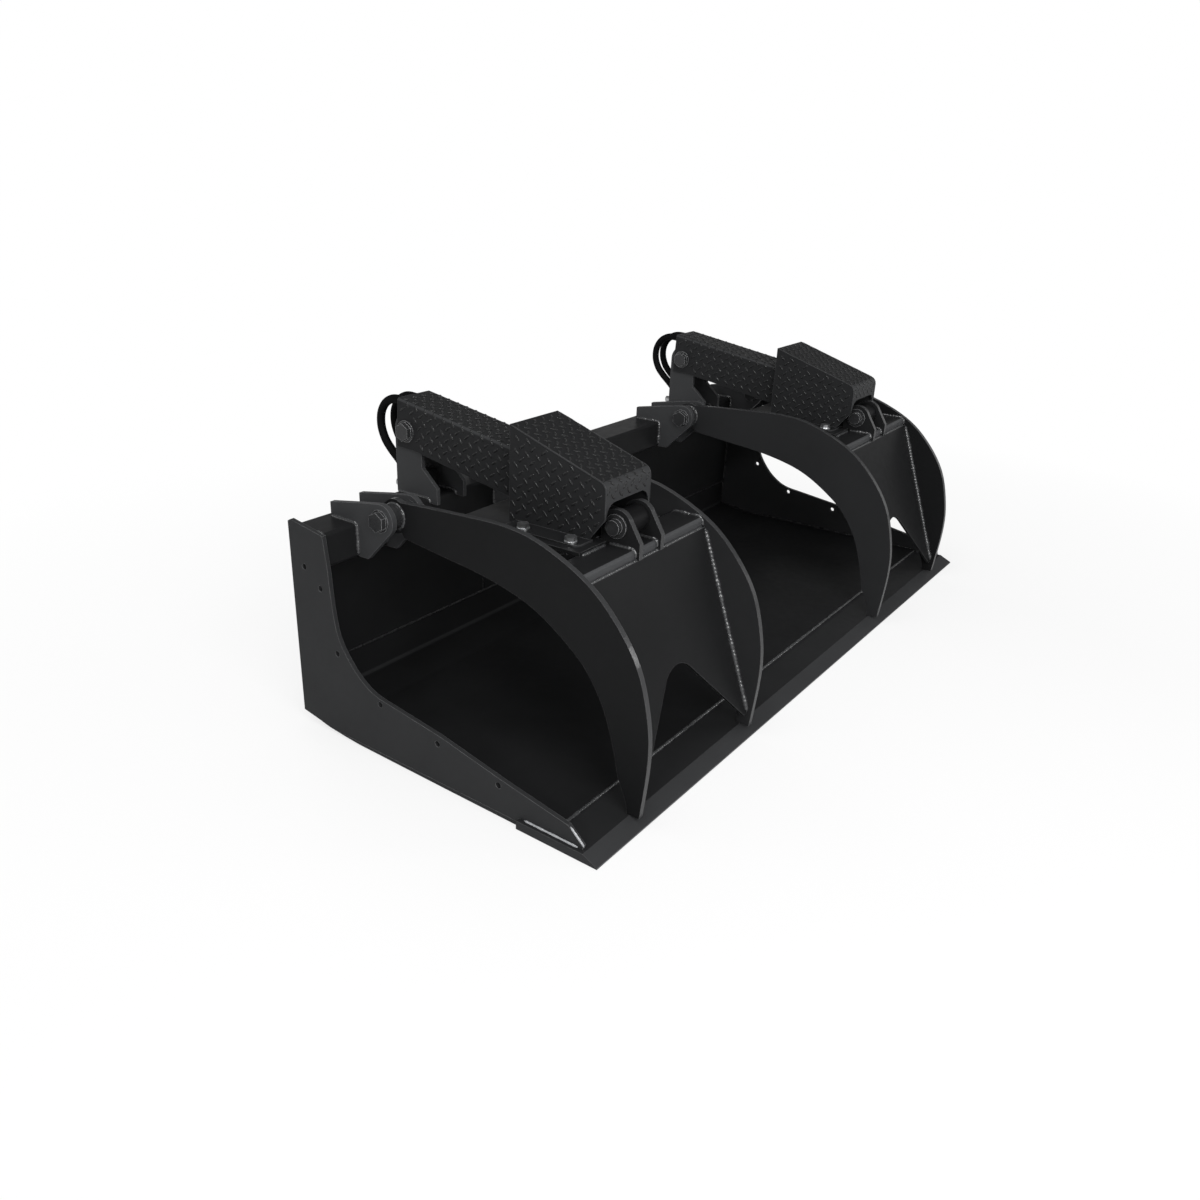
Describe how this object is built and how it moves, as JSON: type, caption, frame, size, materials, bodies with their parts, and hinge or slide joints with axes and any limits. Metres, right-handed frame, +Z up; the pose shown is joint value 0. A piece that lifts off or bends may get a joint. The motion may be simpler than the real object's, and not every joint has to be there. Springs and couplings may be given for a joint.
{
  "type": "grapple bucket",
  "caption": "Wide black loader bucket with curved grapple arms on top, each closed by a hydraulic cylinder under tread plate guards.",
  "frame": {"origin": "on the ground under the middle of the bounding box", "axes": "+X across the bucket towards its right side seen from the front of the machine's seat, -Y towards the cutting edge, +Z up"},
  "size_m": [1.981, 0.9069, 0.6889],
  "materials": {
    "edge_paint": "satin black paint on the cutting edge and wear bars",
    "inner_paint": "gloss black paint inside the bucket",
    "bracket_paint": "satin black paint",
    "frame_paint": "satin black paint",
    "tread_paint": "satin black paint over raised tread lugs",
    "cylinder_paint": "gloss black paint",
    "pin_paint": "black paint over turned steel",
    "hose_rubber": "matt black rubber",
    "rod_chrome": "polished chrome",
    "machined_steel": "turned steel",
    "zinc_steel": "plated steel"
  },
  "bodies": {
    "bucket": {"cutting_edge": "edge_paint", "floor_plate": "inner_paint", "back_plate": "inner_paint", "left_side_plate": "bracket_paint", "right_side_plate": "bracket_paint", "top_tube": "frame_paint", "wear_bars": "edge_paint", "coupler_plate": "frame_paint", "coupler_ribs": "frame_paint", "left_pivot_ears": "bracket_paint", "right_pivot_ears": "bracket_paint", "left_cylinder_bracket": "bracket_paint", "right_cylinder_bracket": "bracket_paint", "pivot_pins": "pin_paint", "pivot_nuts": "pin_paint", "base_pins": "pin_paint", "base_nuts": "pin_paint", "hose_blocks": "frame_paint", "hose_fittings": "zinc_steel", "left_outer_hose": "hose_rubber", "left_inner_hose": "hose_rubber", "right_inner_hose": "hose_rubber", "right_outer_hose": "hose_rubber"},
    "left_arm": {"left_outer_tine": "frame_paint", "left_inner_tine": "frame_paint", "left_skin": "frame_paint", "left_cross_tube": "frame_paint", "left_rear_bar": "frame_paint", "left_shelf": "frame_paint", "left_rod_ears": "frame_paint", "left_bushes": "pin_paint", "left_hood": "tread_paint", "left_hood_bolts": "zinc_steel", "left_rod_pin": "pin_paint", "left_rod_nut": "pin_paint"},
    "left_barrel": {"left_barrel": "cylinder_paint", "left_gland": "cylinder_paint", "left_guard": "tread_paint", "left_ports": "cylinder_paint"},
    "left_rod": {"left_rod": "rod_chrome", "left_piston": "machined_steel"},
    "right_arm": {"right_outer_tine": "frame_paint", "right_inner_tine": "frame_paint", "right_skin": "frame_paint", "right_cross_tube": "frame_paint", "right_rear_bar": "frame_paint", "right_shelf": "frame_paint", "right_rod_ears": "frame_paint", "right_bushes": "pin_paint", "right_hood": "tread_paint", "right_hood_bolts": "zinc_steel", "right_rod_pin": "pin_paint", "right_rod_nut": "pin_paint"},
    "right_barrel": {"right_barrel": "cylinder_paint", "right_gland": "cylinder_paint", "right_guard": "tread_paint", "right_ports": "cylinder_paint"},
    "right_rod": {"right_rod": "rod_chrome", "right_piston": "machined_steel"}
  },
  "joints": [
    {"name": "left_arm_pivot", "type": "hinge", "parent": "bucket", "child": "left_arm", "pos_m": [-0.606, 0.19163, 0.49], "axis": [-1, 0, 0], "range_deg": [0, 50]},
    {"name": "left_barrel_pivot", "type": "hinge", "parent": "bucket", "child": "left_barrel", "pos_m": [-0.606, 0.32863, 0.616], "axis": [-1, 0, 0], "range_deg": [-0.5, 39.5], "deforming": ["left_outer_hose", "left_inner_hose"]},
    {"name": "left_rod_pivot", "type": "hinge", "parent": "left_arm", "child": "left_rod", "pos_m": [-0.606, -0.23833, 0.515], "axis": [-1, 0, 0], "range_deg": [-12, 0.5]},
    {"name": "right_arm_pivot", "type": "hinge", "parent": "bucket", "child": "right_arm", "pos_m": [0.606, 0.19163, 0.49], "axis": [-1, 0, 0], "range_deg": [0, 50]},
    {"name": "right_barrel_pivot", "type": "hinge", "parent": "bucket", "child": "right_barrel", "pos_m": [0.606, 0.32863, 0.616], "axis": [-1, 0, 0], "range_deg": [-0.5, 39.5], "deforming": ["right_outer_hose", "right_inner_hose"]},
    {"name": "right_rod_pivot", "type": "hinge", "parent": "right_arm", "child": "right_rod", "pos_m": [0.606, -0.23833, 0.515], "axis": [-1, 0, 0], "range_deg": [-12, 0.5]}
  ],
  "couplings": [
    {"joint": "left_barrel_pivot", "follows": "left_arm_pivot", "ratio": 0.771},
    {"joint": "left_rod_pivot", "follows": "left_arm_pivot", "ratio": -0.229},
    {"joint": "right_barrel_pivot", "follows": "right_arm_pivot", "ratio": 0.771},
    {"joint": "right_rod_pivot", "follows": "right_arm_pivot", "ratio": -0.229}
  ]
}
